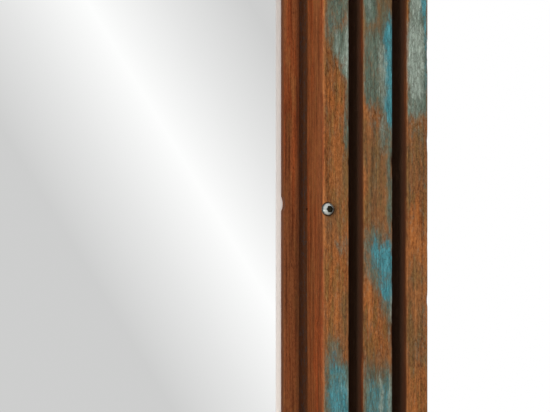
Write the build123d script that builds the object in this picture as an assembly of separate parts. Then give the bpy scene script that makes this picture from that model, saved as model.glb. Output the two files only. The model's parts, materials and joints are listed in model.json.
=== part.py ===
"""Framed bathroom wall mirror, in millimetres.

A silvered glass pane sits in a rebate behind a narrow sight bead. Around the bead run three mitred
rings of reclaimed slats, stood on edge on a frame of flat back boards, with open gaps between them.
The back is closed by foam and hardboard, held by six turn buttons, and hangs on two keyhole plates.

Frame: +X to the right as seen from the front, +Y towards the wall, +Z up. The origin is half way
between the centres of the two keyholes' entry holes, on the back face of the back boards.
"""

from build123d import *
import os

# Overall size and the widths of what is met going outwards from the glass
frame_width = 600.0
frame_height = 800.0
bead_width = 12.5
shadow_gap = 6.0
inner_slat_width = 20.0
middle_slat_width = 23.0
outer_slat_width = 17.0
slat_gap = 11.5

# Depths from the front of the slats to the wall
slat_depth = 24.0
lip_thickness = 4.0
tape_thickness = 0.6
glass_thickness = 4.0
foam_thickness = 2.4
backing_thickness = 3.0
bumper_thickness = 4.0

# Rebate for the glass, and the groove that makes the shadow line beside the bead
rebate_width = 8.0
pane_clearance = 1.0
tape_reveal = 3.6
tape_back_clearance = 1.0
groove_depth = 4.5
groove_undercut = 2.0

# Worn edges, and the seam at each mitre
slat_edge_radius = 0.9
inner_arris_radius = 1.6
bead_edge_radius = 0.7
mitre_seam = 0.15

# Notch in the right bead's sight edge
notch_radius = 12.0
notch_bite = 1.2
notch_rise = 3.6

# Proportions of every screw's driver recess and of a round head's section
recess_reach_share = 0.55
recess_blade_share = 0.1
recess_mouth_share = 0.34
recess_depth_share = 0.7
head_fullness = 0.72
screw_hole_clearance = 0.05

# Screws from the back through the back boards into the slats
slat_screw_length = 30.0
slat_screw_radius = 1.75
slat_screw_head_radius = 3.5
slat_screw_end_margin = 150.0
stile_screw_rows = 4
rail_screw_rows = 3

# Button-head screw with a hexagonal socket, at mid height of each upright inner slat
front_screw_length = 32.0
front_screw_radius = 1.8
front_screw_head_radius = 5.0
front_screw_head_height = 3.0
front_screw_socket_radius = 2.6
front_screw_socket_depth = 2.1
front_screw_inset = 3.4

# Turn buttons that hold the backing board
button_length = 30.0
button_width = 10.0
button_thickness = 1.2
button_pivot_offset = 5.0
button_spread = 150.0
button_screw_depth = 7.0
button_screw_radius = 1.5
button_screw_head_radius = 3.2
button_screw_head_height = 1.8
button_running_clearance = 0.1
button_face_clearance = 0.12

# Keyhole hanger plates, let in flush
hanger_height = 250.0
hanger_length = 44.0
hanger_width = 16.0
hanger_corner_radius = 5.0
hanger_thickness = 1.5
hanger_recess_clearance = 0.2
hanger_centre_rise = 4.0
keyhole_entry_radius = 5.0
keyhole_slot_radius = 2.4
keyhole_rise = 10.0
hanger_screw_pitch = 33.0
hanger_screw_length = 11.0
hanger_pocket_margin = 1.0
hanger_pocket_depth = 8.0

# Flat steel plates across the back of each mitre
corner_plate_arm = 60.0
corner_plate_width = 15.0
corner_plate_thickness = 2.0
corner_plate_inset = 30.0
corner_screw_first = 25.0
corner_screw_pitch = 22.0
corner_screw_length = 12.0
plate_screw_radius = 1.5
plate_screw_head_radius = 3.0

# Beech biscuits inside the back boards' mitres
biscuit_length = 40.0
biscuit_width = 19.0
biscuit_thickness = 4.0
biscuit_clearance = 0.1
biscuit_inset = 66.0

# Pins through the bead into the back boards, pads under the glass, and bumpers for the wall
pin_radius = 0.6
pin_length = 12.0
pin_depth = 5.6
pin_button_gap = 75.0
pad_length = 20.0
pad_spread = 130.0
bumper_radius = 6.5
bumper_face_radius = 5.6
bumper_inset = 14.0

# Sums that the pieces share
board_thickness = lip_thickness + tape_thickness + glass_thickness + foam_thickness + backing_thickness
board_front_at_groove = board_thickness - groove_depth
lip_back = board_thickness - lip_thickness
glass_front = lip_back - tape_thickness
foam_front = glass_front - glass_thickness
slat_front = board_thickness + slat_depth
inner_slat_start = bead_width + shadow_gap
inner_slat_end = inner_slat_start + inner_slat_width
middle_slat_start = inner_slat_end + slat_gap
middle_slat_end = middle_slat_start + middle_slat_width
outer_slat_start = middle_slat_end + slat_gap
stile_width = outer_slat_start + outer_slat_width
sight_half_width = frame_width / 2 - stile_width
sight_half_height = frame_height / 2 - stile_width
pane_reach = rebate_width - pane_clearance
hanger_offset = sight_half_width + inner_slat_end + slat_gap / 2
button_pivot = bead_width + button_pivot_offset
button_seat = button_thickness + 2 * button_face_clearance
middle = -hanger_height

# Each ring of slats: where it starts, where it ends, and how round its sight arris is
rings = {
    "inner": (inner_slat_start, inner_slat_end, inner_arris_radius),
    "middle": (middle_slat_start, middle_slat_end, slat_edge_radius),
    "outer": (outer_slat_start, stile_width, slat_edge_radius),
}
stiles = ("left", "right")
rails = ("bottom", "top")
corners = [(sx, sz) for sx in (-1, 1) for sz in (-1, 1)]


def sign_of(side):
    """-1 for left and bottom, 1 for right and top."""
    return 1 if side in ("right", "top") else -1


def on_side(side, outwards, along):
    """X and Z of a point that lies so far outwards from the sight edge, and along from the middle."""
    if side in stiles:
        return sign_of(side) * (sight_half_width + outwards), middle + along
    return along, middle + sign_of(side) * (sight_half_height + outwards)


def at_corner(sx, sz, from_side, from_end):
    """X and Z of a point measured inwards from the frame's outer edges at one corner."""
    return sx * (frame_width / 2 - from_side), middle + sz * (frame_height / 2 - from_end)


def corners_of(side):
    """The two corners that a side runs between."""
    if side in stiles:
        return [(sx, sz) for sx, sz in corners if sx == sign_of(side)]
    return [(sx, sz) for sx, sz in corners if sz == sign_of(side)]


def evenly(count, reach):
    """Places spread evenly from -reach to reach."""
    return [-reach + 2 * reach * i / (count - 1) for i in range(count)]


def mitred_bar(side, start, end, back, front):
    """A bar along one side, from start to end outwards from the sight edge, mitred at both ends."""
    sight_half = sight_half_height if side in stiles else sight_half_width
    outline = [
        on_side(side, outwards, way * (sight_half + outwards - mitre_seam))
        for outwards, way in ((start, -1), (end, -1), (end, 1), (start, 1))
    ]
    face = Plane.XZ * make_face(Polyline(*outline, close=True))
    return Pos(0, -back, 0) * extrude(face, front - back)


def front_arris(bar, side, outermost):
    """The long front edge of a bar that lies nearest to the glass, or the one farthest from it."""
    edges = bar.faces().sort_by(Axis.Y)[0].edges().sort_by(SortBy.LENGTH)[-2:]
    edges = edges.sort_by(Axis.X if side in stiles else Axis.Z)
    return edges[-1] if outermost == (sign_of(side) > 0) else edges[0]


def worn_bar(side, start, end, back, front, inner_radius, outer_radius):
    """A mitred bar whose two long front arrises are worn round."""
    bar = mitred_bar(side, start, end, back, front)
    bar = fillet(front_arris(bar, side, outermost=False), inner_radius)
    return fillet(front_arris(bar, side, outermost=True), outer_radius)


def shank(length, radius, grow=0.0):
    """A pointed shank along -Y from y = 0. With grow, the hole for it."""
    r = radius + grow
    outline = Polyline((0, 0), (r, 0), (r, 2 * radius - length - grow), (0, -length - grow), close=True)
    return revolve(make_face(outline), Axis.Y)


def countersunk(length, radius, head_radius, grow=0.0):
    """A shank with a countersunk head whose top is flush with y = 0. With grow, the hole for it."""
    bottom = radius - head_radius
    flare = Polyline((0, 0), (head_radius + grow, 0), (radius + grow, bottom), (0, bottom), close=True)
    return shank(length, radius, grow) + revolve(make_face(flare), Axis.Y)


def driver_recess(head_radius, head_height):
    """The cross-shaped recess that a driver fits, with a funnel at its middle, cut down from y = 0."""
    depth = head_height * recess_depth_share
    mouth = head_radius * recess_mouth_share
    section = make_face(Polyline((0, -depth), (mouth, 0), (mouth, depth), (0, depth), close=True))
    funnel = revolve(section, Axis.Y)
    blade = Box(2 * head_radius * recess_reach_share, 2 * depth, 2 * head_radius * recess_blade_share)
    return funnel + blade + Rot(0, 90, 0) * blade


def countersunk_screw(length, radius, head_radius):
    """A countersunk wood screw."""
    return countersunk(length, radius, head_radius) - driver_recess(head_radius, head_radius - radius)


def hexagon_socket():
    """The socket in a front screw's head, with a corner to each side, cut down from y = 0."""
    hexagon = RegularPolygon(front_screw_socket_radius, 6)
    return Rot(90, 0, 0) * extrude(hexagon, front_screw_socket_depth, both=True)


def domed_screw(length, radius, head_radius, head_height, recess):
    """A shank along -Y with a domed head that stands on y = 0, and a recess in its crown."""
    crown = ThreePointArc(
        (head_radius, 0), (head_radius * head_fullness, head_height * head_fullness), (0, head_height)
    )
    section = make_face([crown, Polyline((0, head_height), (0, 0), (head_radius, 0))])
    return shank(length, radius) + revolve(section, Axis.Y) - Pos(0, head_height, 0) * recess


def group_of(piece, places, y=0.0):
    """Copies of one piece at the given X and Z places."""
    return Compound(children=[Pos(x, y, z) * piece for x, z in places])


def slat_screw_places(side, ring):
    """The screws behind the middle line of one slat."""
    start, end, _ = rings[ring]
    half = frame_height / 2 if side in stiles else frame_width / 2
    rows = stile_screw_rows if side in stiles else rail_screw_rows
    return [on_side(side, (start + end) / 2, along) for along in evenly(rows, half - slat_screw_end_margin)]


def slat_screw_hole():
    """The hole for one screw that holds a slat."""
    return countersunk(slat_screw_length, slat_screw_radius, slat_screw_head_radius, screw_hole_clearance)


def button_rows(side):
    """How far along a side its turn buttons are from the middle, by level."""
    return {"upper": button_spread, "lower": -button_spread} if side in stiles else {"middle": 0.0}


def button_places(side):
    """The pivots of one side's turn buttons, by level."""
    return {level: on_side(side, button_pivot, along) for level, along in button_rows(side).items()}


def corner_screw_places(sx, sz):
    """Two screws on the stile's arm of one corner plate, and two on the rail's."""
    centre_line = corner_plate_inset + corner_plate_width / 2
    reaches = [corner_plate_inset + corner_screw_first + i * corner_screw_pitch for i in range(2)]
    on_stile = [at_corner(sx, sz, centre_line, reach) for reach in reaches]
    on_rail = [at_corner(sx, sz, reach, centre_line) for reach in reaches]
    return on_stile, on_rail


def hanger_screw_places(side):
    """The screw above and the screw below one keyhole."""
    return [
        (sign_of(side) * hanger_offset, hanger_centre_rise + way * hanger_screw_pitch / 2)
        for way in (-1, 1)
    ]


def bead_pins(side, grow=0.0):
    """Pins from the rebate's wall outwards, one on each side of every turn button."""
    turn = {"left": -90, "right": 90, "top": 0, "bottom": 180}[side]
    pin = Cylinder(pin_radius + grow, pin_length + grow, align=(Align.CENTER, Align.CENTER, Align.MIN))
    places = [
        on_side(side, rebate_width, along + way * pin_button_gap)
        for along in button_rows(side).values()
        for way in (-1, 1)
    ]
    return [Pos(x, -pin_depth, z) * Rot(0, turn, 0) * pin for x, z in places]


def biscuit(sx, sz, grow=0.0):
    """A biscuit that lies along one corner's mitre, half in each back board."""
    x, z = at_corner(sx, sz, biscuit_inset, biscuit_inset)
    outline = SlotOverall(biscuit_length + 2 * grow, biscuit_width + 2 * grow)
    solid = extrude(outline, biscuit_thickness / 2 + grow, both=True)
    along_mitre = Rot(0, -45 * sx * sz, 0)
    return Pos(x, -board_front_at_groove / 2, z) * along_mitre * Rot(90, 0, 0) * solid


def front_screw_place(side):
    """The front screw, just outside the upright inner slat's sight arris, at mid height."""
    return on_side(side, inner_slat_start + front_screw_inset, 0)


def front_screw_hole(side):
    """The hole from the front that a front screw's shank takes."""
    x, z = front_screw_place(side)
    hole = shank(front_screw_length, front_screw_radius, screw_hole_clearance)
    return Pos(x, -slat_front, z) * Rot(180, 0, 0) * hole


def hanger_plate(side):
    """A flush steel plate with a keyhole and two countersunk holes."""
    sheet = Pos(0, hanger_centre_rise) * RectangleRounded(hanger_width, hanger_length, hanger_corner_radius)
    sheet -= Circle(keyhole_entry_radius)
    sheet -= Pos(0, keyhole_rise / 2) * Rectangle(2 * keyhole_slot_radius, keyhole_rise)
    sheet -= Pos(0, keyhole_rise) * Circle(keyhole_slot_radius)
    plate = Pos(sign_of(side) * hanger_offset, 0, 0) * (Plane.XZ * extrude(sheet, hanger_thickness))
    hole = countersunk(
        hanger_screw_length, plate_screw_radius, plate_screw_head_radius, screw_hole_clearance
    )
    return plate - [Pos(x, 0, z) * hole for x, z in hanger_screw_places(side)]


def hanger_recess(side):
    """The flush recess for a plate, and the pocket in front of it for the wall screw's head."""
    grow = hanger_recess_clearance
    outline = Pos(0, hanger_centre_rise) * RectangleRounded(
        hanger_width + 2 * grow, hanger_length + 2 * grow, hanger_corner_radius + grow
    )
    reach = keyhole_entry_radius + hanger_pocket_margin
    top = keyhole_rise + keyhole_slot_radius + hanger_pocket_margin
    pocket = Pos(0, (top - reach) / 2) * Rectangle(2 * reach, top + reach)
    solid = extrude(outline, hanger_thickness) + extrude(pocket, hanger_thickness + hanger_pocket_depth)
    return Pos(sign_of(side) * hanger_offset, 0, 0) * (Plane.XZ * solid)


def corner_plate(sx, sz):
    """A flat L of steel across the back of one mitre, with four countersunk holes."""
    near = corner_plate_inset
    step = near + corner_plate_width
    far = near + corner_plate_arm
    steps = ((near, near), (near, far), (step, far), (step, step), (far, step), (far, near))
    outline = Polyline(*[at_corner(sx, sz, *point) for point in steps], close=True)
    plate = Pos(0, corner_plate_thickness, 0) * extrude(Plane.XZ * make_face(outline), corner_plate_thickness)
    hole = countersunk(
        corner_screw_length, plate_screw_radius, plate_screw_head_radius, screw_hole_clearance
    )
    on_stile, on_rail = corner_screw_places(sx, sz)
    return plate - [Pos(x, corner_plate_thickness, z) * hole for x, z in on_stile + on_rail]


def turn_button(side, place):
    """A flat steel bar with round ends that turns on its middle, laid across the backing's edge."""
    sheet = SlotOverall(button_length, button_width) - Circle(button_screw_radius + button_running_clearance)
    bar = Plane.XZ * extrude(sheet, button_thickness)
    if side in rails:
        bar = Rot(0, 90, 0) * bar
    x, z = place
    return Pos(x, button_face_clearance + button_thickness, z) * bar


def back_board(side):
    """A flat board with the shadow groove along its inner edge, and every hole that it carries."""
    board = mitred_bar(side, bead_width, stile_width, 0, board_front_at_groove)
    groove_wall = inner_slat_start + groove_undercut
    board += mitred_bar(side, groove_wall, stile_width, board_front_at_groove, board_thickness)
    slat_hole = slat_screw_hole()
    cuts = [Pos(x, 0, z) * slat_hole for ring in rings for x, z in slat_screw_places(side, ring)]
    button_hole = shank(button_screw_depth, button_screw_radius, screw_hole_clearance)
    cuts += [Pos(x, 0, z) * button_hole for x, z in button_places(side).values()]
    plate_hole = shank(corner_screw_length, plate_screw_radius, screw_hole_clearance)
    for sx, sz in corners_of(side):
        cuts.append(biscuit(sx, sz, biscuit_clearance))
        on_stile, on_rail = corner_screw_places(sx, sz)
        places = on_stile if side in stiles else on_rail
        cuts += [Pos(x, corner_plate_thickness, z) * plate_hole for x, z in places]
    cuts += bead_pins(side, screw_hole_clearance)
    if side in stiles:
        hanger_hole = shank(hanger_screw_length, plate_screw_radius, screw_hole_clearance)
        cuts += [Pos(x, 0, z) * hanger_hole for x, z in hanger_screw_places(side)]
        cuts += [hanger_recess(side), front_screw_hole(side)]
    return board - cuts


def slat(side, ring):
    """A slat on edge, with blind holes for the screws behind it."""
    start, end, inner_radius = rings[ring]
    bar = worn_bar(side, start, end, board_thickness, slat_front, inner_radius, slat_edge_radius)
    hole = slat_screw_hole()
    cuts = [Pos(x, 0, z) * hole for x, z in slat_screw_places(side, ring)]
    if ring == "inner" and side in stiles:
        cuts.append(front_screw_hole(side))
    return bar - cuts


def sight_bead(side):
    """The L-shaped bead: a thin lip in front of the glass, and a leg beside it."""
    bead = worn_bar(side, 0, bead_width, lip_back, board_thickness, bead_edge_radius, bead_edge_radius)
    bead += mitred_bar(side, rebate_width, bead_width, 0, lip_back)
    cuts = bead_pins(side, screw_hole_clearance)
    if side == "right":
        x, z = on_side(side, notch_bite - notch_radius, notch_rise)
        cuts.append(Pos(x, -board_thickness, z) * Rot(90, 0, 0) * Cylinder(notch_radius, 4 * lip_thickness))
    return bead - cuts


def glazing_tape():
    """Four thin strips between the lips and the glass, which show a little beside the bead."""
    end = rebate_width - tape_back_clearance
    return Compound(
        children=[mitred_bar(side, -tape_reveal, end, glass_front, lip_back) for side in stiles + rails]
    )


def pane(back, front):
    """A flat sheet that reaches under the bead on every side."""
    width = 2 * (sight_half_width + pane_reach)
    height = 2 * (sight_half_height + pane_reach)
    return Pos(0, -(back + front) / 2, middle) * Box(width, front - back, height)


def setting_pads():
    """Two pads between the glass's lower edge and the bottom bead's rebate."""
    z = middle - sight_half_height - rebate_width + pane_clearance / 2
    pad = Box(pad_length, glass_thickness, pane_clearance)
    return group_of(pad, [(-pad_spread, z), (pad_spread, z)], -(foam_front + glass_front) / 2)


def wall_bumpers():
    """A tapered rubber disc near each corner, which meets the wall."""
    cone = Rot(-90, 0, 0) * Cone(bumper_radius, bumper_face_radius, bumper_thickness)
    places = [at_corner(sx, sz, bumper_inset, bumper_inset) for sx, sz in corners]
    return group_of(cone, places, bumper_thickness / 2)


def side_pieces(side):
    """The wooden bars of one side and the screws that join them, by node."""
    board_name = "back_stile" if side in stiles else "back_rail"
    screw = countersunk_screw(slat_screw_length, slat_screw_radius, slat_screw_head_radius)
    screw_places = [place for ring in rings for place in slat_screw_places(side, ring)]
    return {
        f"{board_name}_{side}": back_board(side),
        f"sight_bead_{side}": sight_bead(side),
        **{f"{ring}_slat_{side}": slat(side, ring) for ring in rings},
        f"slat_screws_{side}": group_of(screw, screw_places),
    }


def glazing_pieces():
    """The glass and what packs it, by node."""
    return {
        "glazing_tape": glazing_tape(),
        "mirror_pane": pane(foam_front, glass_front),
        "setting_pads": setting_pads(),
        "foam_sheet": pane(backing_thickness, foam_front),
        "backing_board": pane(0, backing_thickness),
    }


def button_pieces():
    """The turn buttons and the screws that they turn on, by node."""
    screw = domed_screw(
        button_screw_depth + button_seat,
        button_screw_radius,
        button_screw_head_radius,
        button_screw_head_height,
        driver_recess(button_screw_head_radius, button_screw_head_height),
    )
    pieces = {}
    places = []
    for side in stiles + rails:
        for level, place in button_places(side).items():
            pieces[f"turn_button_{side}_{level}"] = turn_button(side, place)
            places.append(place)
    pieces["turn_button_screws"] = group_of(screw, places, button_seat)
    return pieces


def steel_pieces():
    """The hanger plates, the corner plates and the screws, by node."""
    hanger_screw = countersunk_screw(hanger_screw_length, plate_screw_radius, plate_screw_head_radius)
    corner_screw = countersunk_screw(corner_screw_length, plate_screw_radius, plate_screw_head_radius)
    front_screw = Rot(180, 0, 0) * domed_screw(
        front_screw_length,
        front_screw_radius,
        front_screw_head_radius,
        front_screw_head_height,
        hexagon_socket(),
    )
    hanger_places = [place for side in stiles for place in hanger_screw_places(side)]
    corner_places = [place for corner in corners for arm in corner_screw_places(*corner) for place in arm]
    pieces = {
        "hanger_screws": group_of(hanger_screw, hanger_places),
        "corner_plate_screws": group_of(corner_screw, corner_places, corner_plate_thickness),
    }
    for side in stiles:
        x, z = front_screw_place(side)
        pieces[f"hanger_plate_{side}"] = hanger_plate(side)
        pieces[f"front_screw_{side}"] = Pos(x, -slat_front, z) * front_screw
        for end in rails:
            pieces[f"corner_plate_{end}_{side}"] = corner_plate(sign_of(side), sign_of(end))
    return pieces


def joinery_pieces():
    """The bead's pins, the biscuits and the bumpers, by node."""
    return {
        "bead_pins": Compound(children=[pin for side in stiles + rails for pin in bead_pins(side)]),
        "corner_biscuits": Compound(children=[biscuit(sx, sz) for sx, sz in corners]),
        "wall_bumpers": wall_bumpers(),
    }


pieces = {**glazing_pieces(), **button_pieces(), **steel_pieces(), **joinery_pieces()}
for side in stiles + rails:
    pieces.update(side_pieces(side))

os.makedirs("parts", exist_ok=True)
for name, piece in pieces.items():
    export_step(piece, f"parts/{name}.step")
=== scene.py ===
"""Looks of a framed bathroom mirror: weathered slats, planed beads, silvered glass and zinc fittings.

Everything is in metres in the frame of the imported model: +X to the right as seen from the front,
+Y towards the wall, +Z up. Wood is shaped and painted on a bench frame, where X runs outwards from
the middle of the glass and Z runs along the grain, and is then turned to its side of the mirror.
"""

import json
import math
import random

import bmesh
import bpy
import numpy as np
from bpy.props import FloatProperty, FloatVectorProperty, PointerProperty
from mathutils import Matrix, Vector, noise


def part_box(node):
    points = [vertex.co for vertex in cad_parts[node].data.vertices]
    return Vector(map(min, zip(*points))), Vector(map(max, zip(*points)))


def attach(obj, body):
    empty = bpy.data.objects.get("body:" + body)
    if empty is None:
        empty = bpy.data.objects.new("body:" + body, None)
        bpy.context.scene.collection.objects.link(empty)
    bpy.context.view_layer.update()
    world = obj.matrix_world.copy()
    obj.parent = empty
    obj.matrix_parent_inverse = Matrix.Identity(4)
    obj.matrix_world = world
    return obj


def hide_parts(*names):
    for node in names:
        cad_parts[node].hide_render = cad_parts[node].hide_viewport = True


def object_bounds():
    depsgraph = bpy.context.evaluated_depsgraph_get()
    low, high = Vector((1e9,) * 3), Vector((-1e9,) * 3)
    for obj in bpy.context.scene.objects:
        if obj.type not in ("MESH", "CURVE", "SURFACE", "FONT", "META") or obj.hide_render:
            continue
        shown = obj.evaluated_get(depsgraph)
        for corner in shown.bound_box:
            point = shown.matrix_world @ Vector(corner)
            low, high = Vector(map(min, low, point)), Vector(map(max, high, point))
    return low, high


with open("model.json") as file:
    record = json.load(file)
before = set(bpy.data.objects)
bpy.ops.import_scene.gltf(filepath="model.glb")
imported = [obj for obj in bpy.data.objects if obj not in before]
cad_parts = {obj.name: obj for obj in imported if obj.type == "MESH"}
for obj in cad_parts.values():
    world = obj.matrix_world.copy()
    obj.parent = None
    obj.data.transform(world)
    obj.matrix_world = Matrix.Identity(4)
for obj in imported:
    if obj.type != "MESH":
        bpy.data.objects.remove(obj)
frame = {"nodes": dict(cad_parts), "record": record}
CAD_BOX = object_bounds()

bl_info = {
    "name": "Slatted Wall Mirror",
    "version": (1, 0, 0),
    "blender": (4, 5, 0),
    "location": "3D View > Sidebar > Mirror",
    "description": "Dresses a slatted, reclaimed-wood wall mirror and its studio",
    "category": "Object",
}

MM = 0.001
TINY = 1e-6
NODES = frame["nodes"]
BODY = "frame"
RINGS = ("inner", "middle", "outer")
TURNS = {"right": 0.0, "top": -math.pi / 2, "left": math.pi, "bottom": math.pi / 2}
CENTRE = Vector((0, 0, sum(corner.z for corner in CAD_BOX) / 2))
LIP_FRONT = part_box("sight_bead_right")[0].y
SLAT_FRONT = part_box("inner_slat_right")[0].y
SIGHT_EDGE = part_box("sight_bead_right")[0].x
ARRIS = 0.9 * MM
SIGHT_ARRIS = 1.6 * MM
ARRIS_WEAR = {"inner": (0.72, 0.25), "middle": (0.26, 0.25), "outer": (0.22, 0.9)}

# Old paint and tones on the slats that the photograph shows. Each patch has its upper end in mm above mid
# height with its left and right edges as shares of the slat's width, the same for its lower end, and how
# well it covers. They reach PAINT_SEEN_REACH mm from mid height, where the loose patches of that slat
# start. Those of the other slats start LOOSE_PAINT_START mm from it.
PAINT_SEEN = {
    "inner_slat_right": {
        "teal": (
            (180, 0.22, 1.1, 124, 0.24, 1.1, 0.7), (128, 0.24, 1.1, 100, 0.42, 1.1, 0.8),
            (103, 0.42, 1.1, 84, 0.92, 1.1, 0.8), (92, 0.78, 1.05, 38, 0.82, 1.05, 0.66),
            (-17, 0.4, 1.05, -33, 0.36, 1.05, 0.52), (-104, 0.18, 1.1, -200, 0.16, 1.1, 0.98),
        ),
        "turquoise": (
            (150, 0.26, 0.58, 138, 0.3, 0.5, 0.55), (134, 0.26, 0.48, 122, 0.24, 0.42, 0.55),
            (-95, 0.34, 0.44, -106, 0.22, 0.62, 0.74), (-104, 0.2, 0.66, -118, 0.18, 1.1, 0.7),
            (-114, 0.18, 1.1, -185, 0.16, 1, 0.66),
        ),
        "pale": (
            (132, 0.8, 1.05, 88, 0.82, 1.05, 0.82), (118, 0.5, 0.86, 96, 0.64, 0.9, 0.5),
            (130, 0.4, 0.54, 100, 0.5, 0.64, 0.56), (-106, 0.24, 0.9, -185, 0.2, 0.9, 0.24),
            (-110, 0.92, 1.05, -134, 0.92, 1.05, 0.62),
        ),
        "fresh": (
            (88, 0.15, 0.75, 40, 0.1, 0.6, 0.6), (40, 0.05, 0.5, 4, 0.05, 0.45, 0.4),
            (-34, 0.05, 0.85, -86, 0.05, 0.7, 0.7),
        ),
        "grey": (
            (28, 0.66, 1, 14, 0.6, 1, 0.55), (0, 0.05, 0.75, -20, 0.05, 0.6, 0.35),
            (-60, 0.6, 1, -100, 0.7, 1, 0.4),
        ),
    },
    "middle_slat_right": {
        "teal": (
            (180, -0.05, 0.46, 126, -0.05, 0.52, 0.86), (126, -0.05, 0.9, 66, -0.05, 0.9, 0.72),
            (66, -0.05, 0.7, 50, 0.2, 0.9, 0.42), (56, 0.46, 1.05, 44, 0.48, 1.05, 0.7),
            (62, 0.74, 1.05, -20, 0.82, 1.05, 0.7), (-8, 0.2, 0.56, -16, 0.22, 0.58, 0.58),
            (-60, 0.6, 1.05, -84, 0.8, 1.05, 0.62), (-82, 0.82, 1.05, -106, 0.88, 1.05, 0.5),
            (-106, 0, 1.05, -118, 0, 1.05, 0.42), (-115, 0.02, 1.1, -205, 0.02, 1.1, 0.84),
        ),
        "turquoise": (
            (133, 0.76, 1.2, 110, 0.7, 1.2, 1.06), (114, 0.7, 1.2, 80, 0.68, 1.2, 1.08),
            (84, 0.68, 1.2, 59, 0.76, 1.2, 1.02), (56, 0.7, 0.9, 50, 0.72, 0.9, 0.5),
            (-21, 0.18, 0.62, -46, 0.24, 0.66, 0.7), (-21, 0.5, 1.1, -50, 0.56, 1.1, 0.84),
            (-46, 0.46, 1.1, -66, 0.68, 1.1, 0.84), (-117, 0.1, 0.5, -128, 0.1, 0.6, 0.62),
            (-118, 0.1, 1, -160, 0.1, 1, 0.5),
        ),
        "pale": (
            (152, 0.04, 0.3, 130, 0.06, 0.32, 0.52), (122, 0.46, 0.8, 70, 0.46, 0.82, 0.52),
            (70, 0.54, 0.78, 40, 0.54, 0.74, 0.48), (-54, 0.92, 1.05, -82, 0.92, 1.05, 0.6),
            (-112, 0.56, 0.68, -190, 0.56, 0.7, 0.64), (-112, 0.82, 0.96, -190, 0.82, 0.96, 0.64),
        ),
        "fresh": ((-54, 0.1, 0.55, -104, 0.05, 0.72, 0.66),),
        "grey": (
            (156, 0, 1, 108, 0, 0.9, 0.85), (58, 0, 1, -18, 0.2, 1, 0.46),
            (-104, 0, 1, -120, 0, 1, 0.7),
        ),
    },
    "outer_slat_right": {
        "teal": (
            (185, 0.16, 1.05, 62, -0.05, 1.05, 0.8), (62, -0.05, 1.05, 46, 0, 1.05, 0.4),
            (-82, 0.26, 0.68, -104, 0.24, 0.66, 0.42),
        ),
        "turquoise": ((168, 0.4, 1.1, 132, 0.66, 1.1, 0.66), (140, 0.8, 1.1, 80, 0.84, 1.1, 0.66)),
        "pale": (
            (170, 0.22, 0.66, 132, 0.08, 0.8, 0.66), (136, 0.04, 0.82, 76, 0, 0.84, 0.78),
            (76, 0.1, 0.84, 60, 0.12, 0.8, 0.46),
        ),
        "fresh": ((8, 0, 0.9, -28, 0, 0.9, 0.5), (-110, 0.2, 1, -145, 0.3, 1, 0.5)),
        "grey": ((60, 0, 1, 10, 0, 1, 0.34), (-36, 0, 1, -110, 0, 0.8, 0.24)),
    },
}
PAINT_SEEN_REACH = 205.0
LOOSE_PAINT_START = 15.0
PAINT_KINDS = ("teal", "turquoise", "pale")
TONE_KINDS = ("fresh", "grey")


def srgb(red, green, blue):
    """A colour given as screen values from 0 to 255, as the linear values that shaders use."""
    shares = [value / 255 for value in (red, green, blue)]
    return tuple(c / 12.92 if c <= 0.04045 else ((c + 0.055) / 1.055) ** 2.4 for c in shares)


def opaque(colour):
    """A linear colour with an alpha of 1."""
    return (*colour[:3], 1.0)


def screen(red, green, blue):
    """A screen colour from 0 to 255, as a linear colour with an alpha of 1."""
    return opaque(srgb(red, green, blue))


def tint(name, description, default):
    """A colour setting."""
    return FloatVectorProperty(
        name=name, description=description, subtype="COLOR", size=3, min=0, max=1, default=default
    )


def span_of(name, description, default, highest=10.0):
    """A setting for a length in metres."""
    return FloatProperty(
        name=name, description=description, unit="LENGTH", min=0, max=highest, default=default
    )


class MirrorWood(bpy.types.PropertyGroup):
    """Colours and wear of the reclaimed wood."""

    bare: tint("Bare wood", "Weathered wood on the slats' fronts", srgb(137, 83, 42))
    sawn: tint("Sawn wood", "Red-brown wood on the slats' sides and the beads", srgb(113, 62, 33))
    sanded: tint("Sanded arris", "Pale wood where an arris is rubbed through", srgb(168, 108, 66))
    teal: tint("Grey-green paint", "Most weathered of the old paints", srgb(86, 101, 88))
    turquoise: tint("Turquoise paint", "Best kept of the old paints", srgb(66, 130, 138))
    pale: tint("Pale paint", "Chalky top coat", srgb(142, 154, 142))
    relief: span_of("Relief", "Depth of the weathered grain on a slat's front", 0.25 * MM, 1 * MM)
    nick: span_of("Nicks", "Depth of the deepest nicks along the arrises", 0.7 * MM, 2 * MM)


class MirrorFittings(bpy.types.PropertyGroup):
    """Finish of the glass and the steel."""

    silver: tint("Silver", "Tint of the reflection", (0.985, 0.99, 0.985))
    zinc: tint("Zinc plate", "Plates, buttons and screws on the back", (0.60, 0.61, 0.60))
    bright: tint("Bright steel", "Button-head screws on the front", (0.72, 0.76, 0.72))
    edge: span_of("Edge softening", "Width of the bevel on stamped steel edges", 0.25 * MM, 1 * MM)


class MirrorStudio(bpy.types.PropertyGroup):
    """Camera, lights and floor."""

    yaw: FloatProperty(
        name="Yaw", description="Angle of the camera to the left of square on", subtype="ANGLE",
        default=math.radians(27.2),
    )
    distance: span_of("Distance", "From the camera to the sight edge", 2.0)
    focal_length: FloatProperty(
        name="Focal length", description="In mm on a 36 mm sensor", min=20, max=400, default=189.4,
    )
    aim_inwards: span_of("Aim inwards", "How far inside the right sight edge the camera aims", 6.78 * MM)
    aim_rise: span_of("Aim rise", "How far above mid height the camera aims", 2.1 * MM)
    key: FloatProperty(name="Key light", description="Soft light on the left, in watts", default=58.0)
    fill: FloatProperty(name="Fill light", description="Soft light in front, in watts", default=14.0)
    ambient: FloatProperty(name="Ambient", description="Light from all round", default=0.25)
    floor: tint("Floor", "Colour of the floor", (0.78, 0.77, 0.75))


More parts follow.
